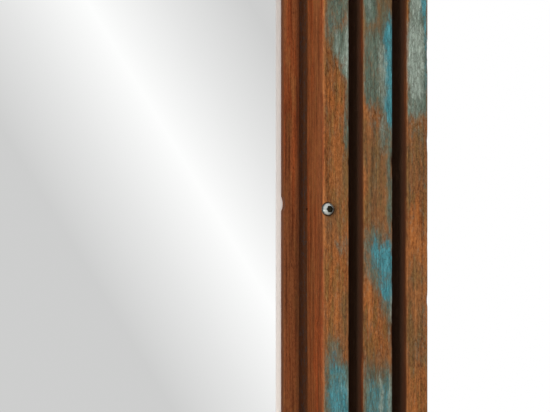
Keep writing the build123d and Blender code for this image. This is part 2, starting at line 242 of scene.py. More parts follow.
class NodeNet:
    """Short ways to add shader nodes to a tree. A value is a number, a colour, a vector or a socket."""

    def __init__(self, tree):
        self.tree = tree

    def feed(self, socket, value):
        if isinstance(value, bpy.types.NodeSocket):
            self.tree.links.new(value, socket)
        else:
            socket.default_value = value

    def node(self, kind, values=None, **settings):
        node = self.tree.nodes.new("ShaderNode" + kind)
        for name, setting in settings.items():
            setattr(node, name, setting)
        for key, value in (values or {}).items():
            self.feed(node.inputs[key], value)
        return node

    def math(self, operation, first, second=0.0, third=0.0):
        return self.node("Math", {0: first, 1: second, 2: third}, operation=operation).outputs[0]

    def times(self, first, second):
        return self.math("MULTIPLY", first, second)

    def stretch(self, vector, scale, move=(0, 0, 0)):
        return self.node("Mapping", {"Vector": vector, "Scale": scale, "Location": move}).outputs[0]

    def noise(self, vector, scale=1.0, seed=0.0, detail=3.0, roughness=0.55, distortion=0.0):
        values = {
            "Vector": vector, "W": seed, "Scale": scale, "Detail": detail,
            "Roughness": roughness, "Distortion": distortion,
        }
        return self.node("TexNoise", values, noise_dimensions="4D").outputs["Fac"]

    def grain(self, vector, stretch, seed, move=(0, 0, 0), **settings):
        return self.noise(self.stretch(vector, stretch, move), seed=seed, **settings)

    def cell_edges(self, vector, stretch, seed):
        values = {"Vector": self.stretch(vector, stretch), "W": seed, "Scale": 1.0}
        node = self.node("TexVoronoi", values, voronoi_dimensions="4D", feature="DISTANCE_TO_EDGE")
        return node.outputs["Distance"]

    def span(self, value, low, high, to_low=0.0, to_high=1.0, kind="SMOOTHSTEP"):
        values = {"Value": value, "From Min": low, "From Max": high, "To Min": to_low, "To Max": to_high}
        return self.node("MapRange", values, interpolation_type=kind).outputs[0]

    def mix(self, share, first, second, blend="MIX"):
        node = self.node("Mix", {0: share, 6: first, 7: second}, data_type="RGBA", blend_type=blend)
        return node.outputs[2]

    def over(self, share, strength, first, second):
        return self.mix(self.times(share, strength), first, second)

    def tinted(self, colour, factors):
        return self.mix(1.0, colour, opaque(factors), "MULTIPLY")

    def blend(self, share, first, second):
        return self.node("Mix", {0: share, 2: first, 3: second}, data_type="FLOAT").outputs[0]

    def ramp(self, value, *stops):
        node = self.node("ValToRGB", {"Fac": value})
        elements = node.color_ramp.elements
        while len(elements) < len(stops):
            elements.new(1.0)
        for element, (place, colour) in zip(elements, stops):
            element.position = place
            element.color = opaque(colour)
        return node.outputs["Color"]

    def split(self, vector):
        return self.node("SeparateXYZ", {"Vector": vector}).outputs

    def attribute(self, name):
        return self.node("Attribute", attribute_name=name).outputs["Fac"]

    def bump(self, height, distance, strength=1.0):
        return self.node("Bump", {"Height": height, "Distance": distance, "Strength": strength}).outputs[0]

    def use(self, group, vector, seed=0.0, **values):
        values.update(Vector=vector, Seed=seed)
        return self.node("Group", values, node_tree=bpy.data.node_groups[group]).outputs


def new_group(name, gives, **takes):
    """An empty node group that takes a vector, a seed and more, as its net, what it takes and gives."""
    tree = bpy.data.node_groups.new(name, "ShaderNodeTree")
    takes = {"Vector": (0.0, 0.0, 0.0), "Seed": 0.0, **takes}
    for socket_name, default in takes.items():
        kind = "NodeSocketVector" if isinstance(default, tuple) else "NodeSocketFloat"
        socket = tree.interface.new_socket(name=socket_name, in_out="INPUT", socket_type=kind)
        socket.default_value = default
    for socket_name in gives:
        tree.interface.new_socket(name=socket_name, in_out="OUTPUT", socket_type="NodeSocketFloat")
    start = tree.nodes.new("NodeGroupInput")
    end = tree.nodes.new("NodeGroupOutput")
    return NodeNet(tree), start.outputs, end.inputs


def give(net, result, **sockets):
    """Feeds a group's outputs by name."""
    for name, socket in sockets.items():
        net.feed(result[name], socket)


def group_wood_fibre():
    """Grain along Z: broad bands, streaks, thin growth lines, fine fibres and dark pores."""
    gives = ("Bands", "Blotches", "Streaks", "Lines", "Fibres", "Pores", "Checks", "Height")
    net, given, result = new_group("Wood fibre", gives)
    place, seed = given["Vector"], given["Seed"]
    bands = net.grain(place, (120, 120, 6), seed, detail=3, distortion=0.4)
    blotches = net.grain(place, (170, 170, 38), seed, detail=4, roughness=0.6, distortion=0.3)
    streaks = net.grain(place, (430, 430, 11), seed, detail=5, roughness=0.68, distortion=0.2)
    fibres = net.grain(place, (850, 850, 340), seed, detail=4, roughness=0.8)
    broad = net.grain(place, (210, 210, 3.2), seed, (0.1, 0, 0), detail=2, distortion=0.5)
    narrow = net.grain(place, (560, 560, 9), seed, (0.2, 0, 0), detail=2)
    lines = [net.math("ABSOLUTE", net.math("SUBTRACT", field, 0.5)) for field in (broad, narrow)]
    lines = net.math(
        "MAXIMUM", net.span(lines[0], 0.022, 0.0), net.times(net.span(lines[1], 0.035, 0.0), 0.6)
    )
    lines = net.times(lines, net.span(bands, 0.35, 0.55))
    pore_field = net.grain(place, (1300, 1300, 300), net.math("ADD", seed, 7.3), detail=1)
    pores = net.times(net.span(pore_field, 0.60, 0.70), net.span(blotches, 0.60, 0.40, 0.35, 1.0))
    cells = net.cell_edges(place, (420, 420, 75), seed)
    checks = net.times(net.span(cells, 0.05, 0.0), net.span(bands, 0.44, 0.60))
    height = net.math("MULTIPLY_ADD", streaks, 0.45, net.times(fibres, 0.55))
    dents = net.math("MULTIPLY_ADD", pores, 0.5, net.times(checks, 0.7))
    height = net.math("SUBTRACT", height, dents)
    give(
        net, result, Bands=bands, Blotches=blotches, Streaks=streaks, Lines=lines, Fibres=fibres,
        Pores=pores, Checks=checks, Height=height,
    )


def group_worn_paint():
    """Where a coat of paint is left, from how well it covers: flecks at low cover, whole at high cover."""
    gives = ("Mask", "Cracks")
    net, given, result = new_group("Worn paint", gives, Cover=0.5, Fibres=0.5, Softness=0.25)
    place, seed = given["Vector"], given["Seed"]
    mottle = net.grain(place, (330, 330, 120), seed, detail=6, roughness=0.72)
    dashes = net.grain(place, (950, 950, 230), seed, detail=3, roughness=0.75)
    field = net.math("MULTIPLY_ADD", mottle, 0.32, net.times(dashes, 0.34))
    field = net.math("MULTIPLY_ADD", given["Fibres"], 0.34, field)
    field = net.math("MULTIPLY_ADD", net.math("SUBTRACT", field, 0.5), 3.0, 0.5)
    threshold = net.math("SUBTRACT", 1.15, net.times(given["Cover"], 1.3))
    excess = net.math("SUBTRACT", field, threshold)
    softness = given["Softness"]
    mask = net.span(excess, net.times(softness, -1.0), softness)
    cells = net.cell_edges(place, (560, 560, 210), seed)
    broken = net.times(net.span(cells, 0.10, 0.02), net.span(mottle, 0.38, 0.58))
    give(net, result, Mask=mask, Cracks=broken)


def group_uneven_mask():
    """An uneven mask for wear and painted shade, following an amount and broken up by soft noise."""
    net, given, result = new_group("Uneven mask", ("Mask",), Amount=0.5)
    cloud = net.grain(given["Vector"], (160, 160, 40), given["Seed"], detail=4, roughness=0.6)
    lifted = net.math("ADD", given["Amount"], net.math("SUBTRACT", cloud, 0.5))
    net.feed(result["Mask"], net.span(lifted, 0.1, 0.9))


def group_steel_wear():
    """Blotches, fine brush lines and scratches on metal."""
    net, given, result = new_group("Steel wear", ("Blotches", "Scratches", "Height"))
    place, seed = given["Vector"], given["Seed"]
    blotches = net.noise(place, 420, seed, detail=4, roughness=0.6)
    lines = net.grain(place, (300, 4000, 4000), seed, detail=2)
    scratch_field = net.grain(place, (2600, 2600, 130), net.math("ADD", seed, 3.1), detail=1)
    scratches = net.span(scratch_field, 0.66, 0.72)
    height = net.math("SUBTRACT", net.times(lines, 0.4), net.times(scratches, 0.6))
    give(net, result, Blotches=blotches, Scratches=scratches, Height=height)


def group_settled_dust():
    """Dust that lies on faces that look up, thicker in patches."""
    net, given, result = new_group("Settled dust", ("Mask",), Normal=(0.0, 0.0, 1.0))
    up = net.span(net.split(given["Normal"])[2], 0.35, 0.95)
    cloud = net.noise(given["Vector"], 60, given["Seed"], detail=4, roughness=0.65)
    net.feed(result["Mask"], net.times(up, net.span(cloud, 0.35, 0.75)))


def new_material(name):
    """A material, its net and its Principled shader."""
    material = bpy.data.materials.new(name)
    material.use_nodes = True
    net = NodeNet(material.node_tree)
    shader = material.node_tree.nodes["Principled BSDF"]
    return material, net, shader


def finish(net, shader, colour, roughness, relief=None, sheen=0.5, metal=0.0):
    """Feeds a shader. Relief is a height, its depth in metres and its strength."""
    net.feed(shader.inputs["Base Color"], colour)
    net.feed(shader.inputs["Roughness"], roughness)
    if relief:
        net.feed(shader.inputs["Normal"], net.bump(*relief))
    shader.inputs["Specular IOR Level"].default_value = sheen
    shader.inputs["Metallic"].default_value = metal


def object_place(net):
    """Object coordinates."""
    return net.node("TexCoord").outputs["Object"]


def surface_normal(net):
    """The surface's normal."""
    return net.node("NewGeometry").outputs["Normal"]


def to_bench(net, side, vector, middle=(0, 0, 0)):
    """A vector turned to the bench frame of one side: X outwards, Z along the grain."""
    values = {"Vector": vector, "Location": middle, "Rotation": (0, TURNS[side], 0)}
    return net.node("Mapping", values, vector_type="TEXTURE").outputs[0]


def bench_place(net, side):
    """Object coordinates in the bench frame of one side."""
    return to_bench(net, side, object_place(net), CENTRE)


def bench_normal(net, side):
    """The surface's normal in the bench frame of one side, as its X, Y and Z."""
    return net.split(to_bench(net, side, surface_normal(net)))


def uneven_mask(net, place, amount, seed):
    """An uneven mask for wear and painted shade that follows an amount."""
    return net.use("Uneven mask", place, seed, Amount=amount)["Mask"]


def dusty(net, place, seed, strength, colour, dust):
    """A colour with dust on what looks up."""
    settled = net.use("Settled dust", place, seed, Normal=surface_normal(net))
    return net.over(settled["Mask"], strength, colour, dust)


def sawn_colour(net, wood, fibre):
    """Smooth red-brown wood with long streaks and thin dark growth lines."""
    r, g, b = wood.sawn
    dark = (r * 0.50, g * 0.46, b * 0.44)
    light = (r * 1.42, g * 1.60, b * 1.62)
    colour = net.ramp(fibre["Streaks"], (0.37, dark), (0.49, wood.sawn), (0.66, light))
    redder = net.tinted(colour, (1.06, 0.84, 0.74))
    yellower = net.tinted(colour, (1.10, 1.26, 1.22))
    colour = net.mix(net.span(fibre["Bands"], 0.48, 0.62), colour, redder)
    colour = net.mix(net.span(fibre["Blotches"], 0.50, 0.64), colour, yellower)
    shades = (0.34, (0.80, 0.84, 0.86)), (0.50, (1.0, 1.0, 1.0)), (0.66, (1.24, 1.16, 1.06))
    broad = net.ramp(fibre["Bands"], *shades)
    colour = net.mix(1.0, colour, broad, "MULTIPLY")
    fine = net.ramp(fibre["Fibres"], (0.36, (0.50, 0.48, 0.46)), (0.64, (1.45, 1.45, 1.45)))
    colour = net.mix(0.65, colour, fine, "MULTIPLY")
    colour = net.over(fibre["Lines"], 0.50, colour, opaque((r * 0.30, g * 0.22, b * 0.20)))
    return net.over(fibre["Pores"], 0.55, colour, opaque((r * 0.20, g * 0.16, b * 0.14)))


def bare_colour(net, wood, fibre):
    """Weathered orange-brown wood with speckled fibres and small cracks."""
    r, g, b = wood.bare
    dark = (r * 0.42, g * 0.38, b * 0.36)
    light = (r * 1.55, g * 1.70, b * 1.85)
    blend = net.math("MULTIPLY_ADD", fibre["Streaks"], 0.42, net.times(fibre["Fibres"], 0.58))
    colour = net.ramp(blend, (0.40, dark), (0.50, wood.bare), (0.60, light))
    fresher = net.tinted(colour, (1.14, 1.10, 1.00))
    olive = net.tinted(colour, (0.72, 0.92, 0.92))
    colour = net.mix(net.span(fibre["Blotches"], 0.50, 0.62), colour, fresher)
    colour = net.mix(net.span(fibre["Blotches"], 0.53, 0.40), colour, olive)
    colour = net.over(fibre["Lines"], 0.45, colour, opaque((r * 0.30, g * 0.24, b * 0.22)))
    colour = net.over(fibre["Checks"], 0.50, colour, opaque((r * 0.16, g * 0.13, b * 0.12)))
    return net.over(fibre["Pores"], 0.62, colour, opaque((r * 0.42, g * 0.20, b * 0.20)))


def paint_coat(net, colour, place, seed):
    """A paint's colour with chalky and grimy variation."""
    cloud = net.grain(place, (800, 800, 100), seed, detail=5, roughness=0.80)
    darker = tuple(c * 0.48 for c in colour)
    paler = tuple(min(1.0, c * 1.50 + 0.03) for c in colour)
    return net.ramp(cloud, (0.36, darker), (0.51, colour), (0.66, paler))


def slat_material(side, ring, wood, seed):
    """A slat: sawn sides with painted shade down the gaps, and a weathered front with old paint."""
    material, net, shader = new_material(f"slat_wood_{ring}_{side}")
    place = bench_place(net, side)
    fibre = net.use("Wood fibre", place, seed)
    front = net.attribute("front")
    arris = net.attribute("arris")

    side_wood = sawn_colour(net, wood, fibre)
    # Painted shade down the gaps: sides that face a gap get darker the deeper they lie, unevenly, towards
    # dark brown near the front and greyer brown deeper in.
    depth = net.math("SUBTRACT", net.split(place)[1], SLAT_FRONT)
    outwards = bench_normal(net, side)[0]
    facing = {"inner": (0.2, 0.8), "outer": (-0.2, -0.8)}
    facing_gap = net.span(outwards, *facing[ring]) if ring in facing else 1.0
    drift = net.grain(place, (40, 40, 16), seed + 9, detail=4, roughness=0.6)
    deeper = net.span(depth, 0.0, 10 * MM, 0.0, 0.9)
    gap_shade = net.times(net.math("ADD", deeper, net.span(drift, 0.42, 0.58, 0.42, 1.0)), facing_gap)
    gap_shade = uneven_mask(net, place, gap_shade, seed)
    gap_shade_colour = net.mix(net.span(depth, 3 * MM, 15 * MM), screen(58, 34, 23), screen(104, 80, 62))
    side_wood = net.over(gap_shade, 0.9, side_wood, gap_shade_colour)

    bare = bare_colour(net, wood, fibre)
    front_wood = net.mix(net.attribute("fresh"), bare, net.tinted(bare, (1.24, 1.15, 1.04)))
    greyed = net.mix(0.5, net.tinted(bare, (0.62, 0.78, 0.86)), screen(92, 84, 64))
    front_wood = net.mix(net.attribute("grey"), front_wood, greyed)
    colour = net.mix(front, side_wood, front_wood)
    height = fibre["Height"]
    roughness = net.span(fibre["Streaks"], 0.3, 0.7, 0.62, 0.46)
    for kind, softness in zip(PAINT_KINDS, (0.42, 0.34, 0.42)):
        coat_seed = seed + 2.3 * PAINT_KINDS.index(kind)
        values = {"Cover": net.attribute(kind), "Fibres": fibre["Fibres"], "Softness": softness}
        coat = net.use("Worn paint", place, coat_seed, **values)
        mask = net.times(coat["Mask"], front)
        paint = paint_coat(net, getattr(wood, kind), place, coat_seed)
        paint = net.over(coat["Cracks"], 0.45, paint, screen(58, 46, 36))
        colour = net.mix(mask, colour, paint)
        height = net.math("MULTIPLY_ADD", mask, 0.35, height)
        roughness = net.blend(mask, roughness, 0.58)

    rubbed = uneven_mask(net, net.stretch(place, (1, 1, 0.5)), arris, seed + 5)
    rubbed = net.times(rubbed, net.span(arris, 0.05, 0.6))
    sanded = net.mix(0.55, opaque(wood.sanded), bare)
    colour = net.over(rubbed, 0.85, colour, sanded)
    colour = dusty(net, place, seed, 0.25, colour, screen(170, 160, 148))

    finish(net, shader, colour, roughness, (height, 0.22 * MM, 0.8), sheen=0.18)
    return material


def bead_material(side, wood):
    """A planed and waxed bead, with painted shade on its side towards the glass and along the groove."""
    material, net, shader = new_material(f"bead_wood_{side}")
    seed = 41.0 + 13.0 * list(TURNS).index(side)
    low, high = bench_box("sight_bead_" + side, side)
    place = bench_place(net, side)
    across = net.split(place)[0]
    fibre = net.use("Wood fibre", place, seed)
    colour = sawn_colour(net, wood, fibre)

    # Painted shade on the side of the bead that faces the glass.
    normal = bench_normal(net, side)
    inwards = net.span(normal[0], -0.45, -0.9)
    colour = net.over(inwards, 0.8, colour, screen(74, 40, 20))
    # Painted shade along the bead's front edge by the groove, where it rounds down into the groove.
    near_groove_edge = net.span(across, high.x - 5 * MM, high.x)
    groove_edge_shade = uneven_mask(net, place, near_groove_edge, seed)
    colour = net.over(groove_edge_shade, 0.6, colour, screen(62, 34, 20))
    # Painted shade on the bead's side in the groove.
    groove_side = net.span(normal[0], 0.5, 0.9)
    colour = net.over(groove_side, 0.75, colour, screen(36, 24, 19))

    roughness = net.span(fibre["Streaks"], 0.3, 0.7, 0.60, 0.44)
    finish(net, shader, colour, roughness, (fibre["Height"], 0.12 * MM, 0.7), sheen=0.15)
    return material


def board_material(side, wood):
    """A rough-sawn back board: raw behind, with painted shade in front where it closes the gaps."""
    material, net, shader = new_material(f"board_wood_{side}")
    seed = 83.0 + 11.0 * list(TURNS).index(side)
    place = bench_place(net, side)
    fibre = net.use("Wood fibre", place, seed)
    colour = net.mix(0.5, sawn_colour(net, wood, fibre), bare_colour(net, wood, fibre))
    saw_lines = net.grain(place, (14, 60, 700), seed, (3, 0, 0), detail=2, distortion=0.6)
    colour = net.mix(net.span(saw_lines, 0.45, 0.75, 0.0, 0.35), colour, screen(60, 38, 26))

    normal = bench_normal(net, side)
    depth = net.split(place)[1]
    # Painted shade on the board's front faces deep in the frame, in the gaps between the slats and in the
    # groove by the bead.
    inside = net.times(net.span(normal[1], 0.3, -0.3), net.span(depth, -5 * MM, -8 * MM))
    gap_shade = uneven_mask(net, place, net.times(inside, 1.2), seed)
    colour = net.over(gap_shade, 0.88, colour, screen(100, 62, 40))
    values = {"Cover": net.times(inside, 0.42), "Fibres": fibre["Fibres"], "Softness": 0.1}
    residue = net.use("Worn paint", place, seed + 1, **values)
    colour = net.over(residue["Mask"], 0.5, colour, screen(70, 76, 78))

    roughness = net.span(fibre["Fibres"], 0.3, 0.7, 0.85, 0.7)
    height = net.math("MULTIPLY_ADD", saw_lines, 0.8, fibre["Height"])
    finish(net, shader, colour, roughness, (height, 0.35 * MM, 0.9), sheen=0.2)
    return material


def mirror_material(fittings):
    """Silvered glass with faint wipe marks."""
    material, net, shader = new_material("silvered_glass")
    place = object_place(net)
    wipes = net.grain(place, (9, 9, 4), 2.0, detail=4, roughness=0.5, distortion=1.2)
    specks = net.span(net.noise(place, 900, 5.0, detail=2), 0.74, 0.80)
    haze = net.math("MULTIPLY_ADD", net.span(wipes, 0.5, 0.8), 0.012, net.times(specks, 0.02))
    colour = net.over(specks, 0.06, opaque(fittings.silver), opaque((0.80, 0.80, 0.78)))
    finish(net, shader, colour, haze, metal=1.0)
    return material


def tape_material():
    """Pale glazing tape with a painted reflection, darker towards the top, and painted shade on its edges.
    """
    material, net, shader = new_material("glazing_tape")
    place = object_place(net)
    height = net.split(place)[2]
    weave = net.noise(place, 1500, 3.0, detail=2)
    # Painted reflection: darker towards the top, following the glass's reflection beside it.
    painted_reflection = net.span(height, CENTRE.z - 0.15, CENTRE.z + 0.15, kind="LINEAR")
    shades = (0.0, srgb(233, 224, 216)), (0.5, srgb(217, 209, 203)), (1.0, srgb(197, 189, 183))
    colour = net.ramp(painted_reflection, *shades)
    colour = net.mix(net.span(weave, 0.55, 0.75, 0.0, 0.12), colour, screen(150, 142, 132))
    # Painted shade on the faces of the tape that do not face the front or the back.
    facing = net.math("ABSOLUTE", net.split(surface_normal(net))[1])
    colour = net.mix(net.span(facing, 0.9, 0.4), colour, net.tinted(colour, (0.76, 0.77, 0.80)))
    finish(net, shader, colour, net.span(weave, 0.3, 0.7, 0.45, 0.6), (weave, 0.02 * MM, 0.5))
    return material


def plain_stock(name, colour, texture_scale, contrast, roughness, bump, seed=0.0):
    """A matt sheet or moulding: mottled colour, fine pits and uneven roughness."""
    material, net, shader = new_material(name)
    place = object_place(net)
    cloud = net.noise(place, texture_scale, seed, detail=5, roughness=0.65)
    pits = net.noise(place, texture_scale * 6, seed + 1, detail=2)
    dark = tuple(c * (1 - contrast) for c in colour)
    light = tuple(min(1.0, c * (1 + contrast)) for c in colour)
    body = net.ramp(cloud, (0.30, dark), (0.52, colour), (0.72, light))
    body = net.over(net.span(pits, 0.58, 0.72), contrast, body, opaque(dark))
    body = dusty(net, place, 0.0, 0.3, body, screen(170, 162, 150))
    rough = net.span(pits, 0.3, 0.7, roughness - 0.08, roughness + 0.08)
    finish(net, shader, body, rough, (pits, bump, 0.7))
    return material


def steel_material(name, colour, roughness, seed, blotches=0.45, socket_shade=False):
    """Plated steel: brushed, blotched and a little scratched, with painted shade where a screw is marked.
    """
    material, net, shader = new_material(name)
    place = object_place(net)
    wear = net.use("Steel wear", place, seed)
    dark = tuple(c * (1 - 0.85 * blotches) for c in colour)
    light = tuple(min(1, c * 1.15) for c in colour)
    body = net.ramp(wear["Blotches"], (0.30, dark), (0.55, colour), (0.75, light))
    body = net.over(wear["Scratches"], 0.5, body, opaque((0.85, 0.85, 0.84)))
    body = net.mix(net.span(wear["Blotches"], 0.62, 0.80, 0.0, blotches), body, screen(120, 84, 52))
    if socket_shade:
        # Painted shade in a screw's socket, at its rim and on its lee side, broken up by uneven noise.
        shade_mark = net.attribute("socket")
        screw_shade = net.math("MAXIMUM", net.times(uneven_mask(net, place, shade_mark, seed), 0.9), shade_mark)
        body = net.mix(screw_shade, body, screen(46, 44, 34))
    rough = net.span(wear["Blotches"], 0.3, 0.7, roughness + 0.12, roughness - 0.06)
    finish(net, shader, body, rough, (wear["Height"], 0.03 * MM, 0.6), metal=1.0)
    return material


def bench_box(node, side):
    """A node's lowest and highest corners in the bench frame of one side."""
    turn = Matrix.Rotation(-TURNS[side], 4, "Y") @ Matrix.Translation(-CENTRE)
    corners = [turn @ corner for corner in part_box(node)]
    return Vector(map(min, *corners)), Vector(map(max, *corners))


def smooth(piece, sharp_angle):
    """Shades a piece smooth, but for edges sharper than an angle in degrees."""
    piece.data.shade_smooth()
    piece.data.set_sharp_from_angle(angle=math.radians(sharp_angle))


def linked(name, data):
    """A new object in the scene."""
    thing = bpy.data.objects.new(name, data)
    bpy.context.scene.collection.objects.link(thing)
    return thing


def linked_shape(name, shape, material):
    """A new object from a bmesh and a material."""
    mesh = bpy.data.meshes.new(name)
    shape.to_mesh(mesh)
    shape.free()
    mesh.materials.append(material)
    return linked(name, mesh)


def finished_piece(name, shape, material, node_names):
    """Links a bmesh as a piece that rides on the frame and stands for CAD nodes."""
    piece = linked_shape(name, shape, material)
    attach(piece, BODY)
    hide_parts(*node_names)
    return piece


def bar_shape(low, high, inner_radius, outer_radius, across_step, along_step):
    """A bar on the bench with two rounded front arrises, mitred ends and an even grid of faces."""
    shape = bmesh.new()
    bmesh.ops.create_cube(shape, size=1.0)
    half_length = (high.z - low.z) / 2
    bmesh.ops.scale(shape, vec=(high.x - low.x, high.y - low.y, 2.0), verts=shape.verts)
    bmesh.ops.translate(shape, vec=((low.x + high.x) / 2, (low.y + high.y) / 2, 0), verts=shape.verts)
    for x, radius in ((low.x, inner_radius), (high.x, outer_radius)):
        arris = [
            e for e in shape.edges
            if all(abs(v.co.x - x) < TINY and abs(v.co.y - low.y) < TINY for v in e.verts)
        ]
        bmesh.ops.bevel(
            shape, geom=arris, offset=radius, offset_type="OFFSET", segments=5, profile=0.5,
            affect="EDGES", material=-1,
        )
    spans = (
        (0, low.x + inner_radius, high.x - outer_radius, across_step),
        (1, low.y + max(inner_radius, outer_radius), high.y, 2 * across_step),
    )
    for axis, start, end, step in spans:
        count = max(2, round((end - start) / step))
        for i in range(1, count):
            point = Vector()
            point[axis] = start + (end - start) * i / count
            way = Vector()
            way[axis] = 1.0
            geometry = shape.verts[:] + shape.edges[:] + shape.faces[:]
            bmesh.ops.bisect_plane(shape, geom=geometry, plane_co=point, plane_no=way)
    long_edges = [e for e in shape.edges if abs(e.verts[0].co.z - e.verts[1].co.z) > 1.0]
    cuts = round(2 * half_length / along_step)
    bmesh.ops.subdivide_edges(shape, edges=long_edges, cuts=cuts, use_grid_fill=True)
    for v in shape.verts:
        v.co.z *= half_length - (high.x - v.co.x)
    return shape


def wave_at(*place):
    """Smooth noise from -1 to 1."""
    return noise.noise(Vector(place))


def share_of(value):
    """A value kept between 0 and 1."""
    return max(0.0, min(1.0, value))


def weather(shape, low, high, relief, nick, seed):
    """Moves the bar's front and sides inwards by weathered grain, slow waves and nicks on the arrises."""
    shape.normal_update()
    reach = 2.2 * MM
    wave_depth = 0.15 * MM
    moves = []
    for v in shape.verts:
        if v.co.y > high.y - TINY:
            continue
        out = Vector((v.normal.x, v.normal.y, 0))
        if out.length < 0.1:
            continue
        out.normalize()
        x, y, z = v.co
        grain = 0.5 + 0.5 * wave_at(x * 640 + seed, y * 640, z * 22)
        fine = 0.5 + 0.5 * wave_at(x * 1300, y * 1300 + seed, z * 60)
        wave = 0.5 + 0.5 * wave_at(x * 30, seed, z * 9)
        facing = max(0.0, -out.y)
        depth = relief * (0.25 + 0.75 * facing) * (0.6 * grain + 0.4 * fine) + wave_depth * wave * facing
        edge = max(0.0, 1 - min(x - low.x, high.x - x) / reach) * max(0.0, 1 - (y - low.y) / reach)
        outer = x > (low.x + high.x) / 2
        chip = wave_at(seed + (5 if outer else 0), 0.3, z * 75)
        chip += 0.5 * wave_at(seed, 0.9, z * 260)
        depth += nick * edge * share_of((chip - 0.25) * 2.2)
        moves.append((v, out * depth))
    for v, move in moves:
        v.co -= move


def smooth_box(value, start, end, soft):
    """1 between start and end, falling to 0 over soft on both sides."""
    return share_of((min(value - start, end - value) + soft) / (2 * soft))


def loose_patches(seed, half_length, first):
    """Patches of paint and tone for the parts of a slat that the photograph leaves out."""
    rng = random.Random(seed)
    patches = []
    for way in (-1, 1):
        place = first + rng.uniform(-20, 30)
        while place < half_length:
            length = rng.uniform(28, 110)
            upper, lower = sorted((way * place, way * (place + length)), reverse=True)
            kind = rng.choice(("teal", "teal", "turquoise", "turquoise", "pale", "fresh"))
            left = rng.choice((-0.05, -0.05, rng.uniform(0.1, 0.7)))
            right = min(1.05, left + rng.uniform(0.3, 1.1))
            slant = rng.uniform(-0.2, 0.2)
            cover = rng.uniform(0.50, 0.80)
            patches.append((kind, upper, left, right, lower, left + slant, right + slant, cover))
            if kind in ("turquoise", "pale"):
                around = (upper + 12, left - 0.2, right + 0.2, lower - 14, left - 0.2, right + 0.2)
                patches.append(("teal", *around, 0.8 * cover))
            place += length + rng.uniform(10, 120)
    for _ in range(round(half_length / 40)):
        middle = rng.uniform(-half_length, half_length)
        length = rng.uniform(20, 60)
        left = rng.uniform(-0.05, 0.7)
        if abs(middle) > first:
            edges = (left, left + rng.uniform(0.3, 0.8))
            tone = (rng.choice(TONE_KINDS), middle + length / 2, *edges, middle - length / 2, *edges)
            patches.append((*tone, rng.uniform(0.35, 0.65)))
    return patches


def patch_values(patches, across, along, seed):
    """How strongly each kind of patch covers a point, with ragged outlines and teal around turquoise."""
    soft_across, soft_along = 0.15, 9.0
    halo_across, halo_along, halo_cover = 0.25, 12.0, 0.62
    ragged = wave_at(across * 4, seed, along * 0.045)
    finer = wave_at(across * 9 + seed, 0.5, along * 0.16)
    across += 0.08 * ragged + 0.05 * finer
    along += 6.0 * ragged + 4.0 * finer
    values = dict.fromkeys(PAINT_KINDS + TONE_KINDS, 0.0)
    values["teal"] = 0.21 + 0.15 * ragged + 0.10 * finer
    for kind, upper, upper_left, upper_right, lower, lower_left, lower_right, cover in patches:
        share = share_of((upper - along) / (upper - lower))
        left = upper_left + (lower_left - upper_left) * share
        right = upper_right + (lower_right - upper_right) * share
        soft = min(soft_across, (right - left) / 2)
        inside = smooth_box(across, left, right, soft) * smooth_box(along, lower, upper, soft_along)
        values[kind] = max(values[kind], cover * inside)
        if kind == "turquoise":
            halo = smooth_box(across, left - halo_across, right + halo_across, 0.2)
            halo *= smooth_box(along, lower - halo_along, upper + halo_along, halo_along)
            values["teal"] = max(values["teal"], halo_cover * halo)
    return values


def mark_slat(mesh, low, high, patches, arris_wear, seed):
    """Writes each point's front share, arris wear, paint cover and tone for the slat's material."""
    places = np.empty(len(mesh.vertices) * 3, np.float32)
    mesh.vertices.foreach_get("co", places)
    places = places.reshape(-1, 3)
    names = ("front", "arris", *PAINT_KINDS, *TONE_KINDS)
    marks = {name: np.zeros(len(places), np.float32) for name in names}
    edges = tuple(zip((low.x, high.x), arris_wear))
    worn_width, worn_depth, front_depth = 2.6 * MM, 2.4 * MM, 3 * MM
    for i, (x, y, z) in enumerate(places.tolist()):
        depth = y - low.y
        if depth > front_depth:
            continue
        marks["front"][i] = share_of(1.25 - depth / ARRIS)
        near = [max(0.0, 1 - abs(x - edge) / worn_width) * wear for edge, wear in edges]
        marks["arris"][i] = max(near) * max(0.0, 1 - depth / worn_depth)
        if marks["front"][i] > 0:
            values = patch_values(patches, (x - low.x) / (high.x - low.x), z / MM, seed)
            for name, value in values.items():
                marks[name][i] = value
    for name, values in marks.items():
        mesh.attributes.new(name, "FLOAT", "POINT").data.foreach_set("value", values)


def turn_from_bench(mesh, side):
    """Turns a mesh from the bench to its side of the mirror."""
    mesh.transform(Matrix.Translation(CENTRE) @ Matrix.Rotation(TURNS[side], 4, "Y"))


def weathered_slat(side, ring, wood):
    """One slat, shaped and painted on the bench, in the place of its CAD node."""
    node = f"{ring}_slat_{side}"
    low, high = bench_box(node, side)
    seed = 3.7 * RINGS.index(ring) + 17.0 * list(TURNS).index(side)
    inner_radius = SIGHT_ARRIS if ring == "inner" else ARRIS
    shape = bar_shape(low, high, inner_radius, ARRIS, across_step=1.2 * MM, along_step=3.0 * MM)
    weather(shape, low, high, wood.relief, wood.nick, seed)
    material = slat_material(side, ring, wood, seed)
    piece = finished_piece(f"weathered_{node}", shape, material, [node])
    patches = [(kind, *patch) for kind, kept in PAINT_SEEN.get(node, {}).items() for patch in kept]
    first = PAINT_SEEN_REACH if patches else LOOSE_PAINT_START
    patches += loose_patches(round(seed * 10), (high.z - low.z) / 2 / MM, first)
    mark_slat(piece.data, low, high, patches, ARRIS_WEAR[ring], seed)
    turn_from_bench(piece.data, side)
    smooth(piece, 35)


